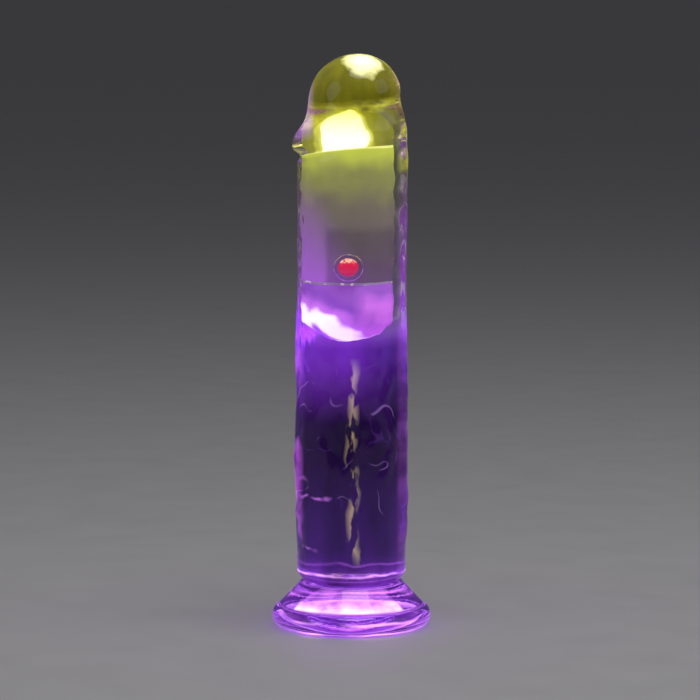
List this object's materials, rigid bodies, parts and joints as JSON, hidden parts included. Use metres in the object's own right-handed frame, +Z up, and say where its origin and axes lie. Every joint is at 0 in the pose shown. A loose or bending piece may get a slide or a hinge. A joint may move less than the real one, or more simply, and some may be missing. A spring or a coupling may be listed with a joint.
{
  "type": "illuminated adult novelty",
  "caption": "Clear elastomer adult novelty, upright on a flared suction foot, cast round a sealed battery-powered light capsule with a light at each end and a red push button.",
  "frame": {"origin": "middle of the foot, on the standing surface", "axes": "+Z up along the body, -Y out of the front where the button faces, +X the side the crown leans to"},
  "size_m": [0.057, 0.057, 0.2049],
  "materials": {
    "clear_elastomer": "glossy, water clear",
    "foot_elastomer": "glossy, water clear",
    "frosted_plastic": "frosted, translucent",
    "upper_lens_plastic": "clear, lit yellow-green",
    "lower_lens_plastic": "clear, lit violet",
    "seal_rubber": "soft, pale",
    "collar_plastic": "clear",
    "button_plastic": "translucent red",
    "white_plastic": "satin",
    "black_plastic": "matte",
    "spring_steel": "bright wire",
    "board_laminate": "solder mask",
    "led_board_laminate": "white solder mask",
    "capacitor_ceramic": "matt",
    "screw_steel": "zinc plated",
    "holder_plastic": "moulded",
    "cell_steel": "nickel plated",
    "contact_metal": "bright",
    "reflector_plastic": "white, glossy",
    "led_yellow": "lit",
    "led_violet": "lit",
    "led_red": "lit",
    "red_wire": "insulated",
    "blue_wire": "insulated"
  },
  "bodies": {
    "body": {"clear_body": "clear_elastomer", "suction_foot": "foot_elastomer", "capsule_tube": "frosted_plastic", "upper_lens": "upper_lens_plastic", "lower_lens": "lower_lens_plastic", "upper_seal": "seal_rubber", "lower_seal": "seal_rubber", "button_collar": "collar_plastic", "button_spring": "spring_steel", "switch_body": "black_plastic", "chassis": "white_plastic", "main_board": "board_laminate", "control_chip": "black_plastic", "resistors": "black_plastic", "capacitors": "capacitor_ceramic", "transistors": "black_plastic", "indicator_led": "led_red", "board_screws": "screw_steel", "battery_holder": "holder_plastic", "lower_cell": "cell_steel", "middle_cell": "cell_steel", "upper_cell": "cell_steel", "positive_contact": "contact_metal", "negative_contact": "contact_metal", "negative_spring": "spring_steel", "upper_reflector": "reflector_plastic", "upper_led_board": "led_board_laminate", "upper_leds": "led_yellow", "upper_leads": "red_wire", "lower_reflector": "reflector_plastic", "lower_led_board": "led_board_laminate", "lower_leds": "led_violet", "lower_leads": "blue_wire"},
    "button": {"power_button": "button_plastic", "button_plunger": "white_plastic"}
  },
  "joints": [
    {"name": "button_press", "type": "slide", "parent": "body", "child": "button", "axis": [0, 1, 0], "range_m": [0, 0.0008], "stiffness_N_per_m": 800, "springref_m": -0.0006, "deforming": ["button_spring"]}
  ]
}
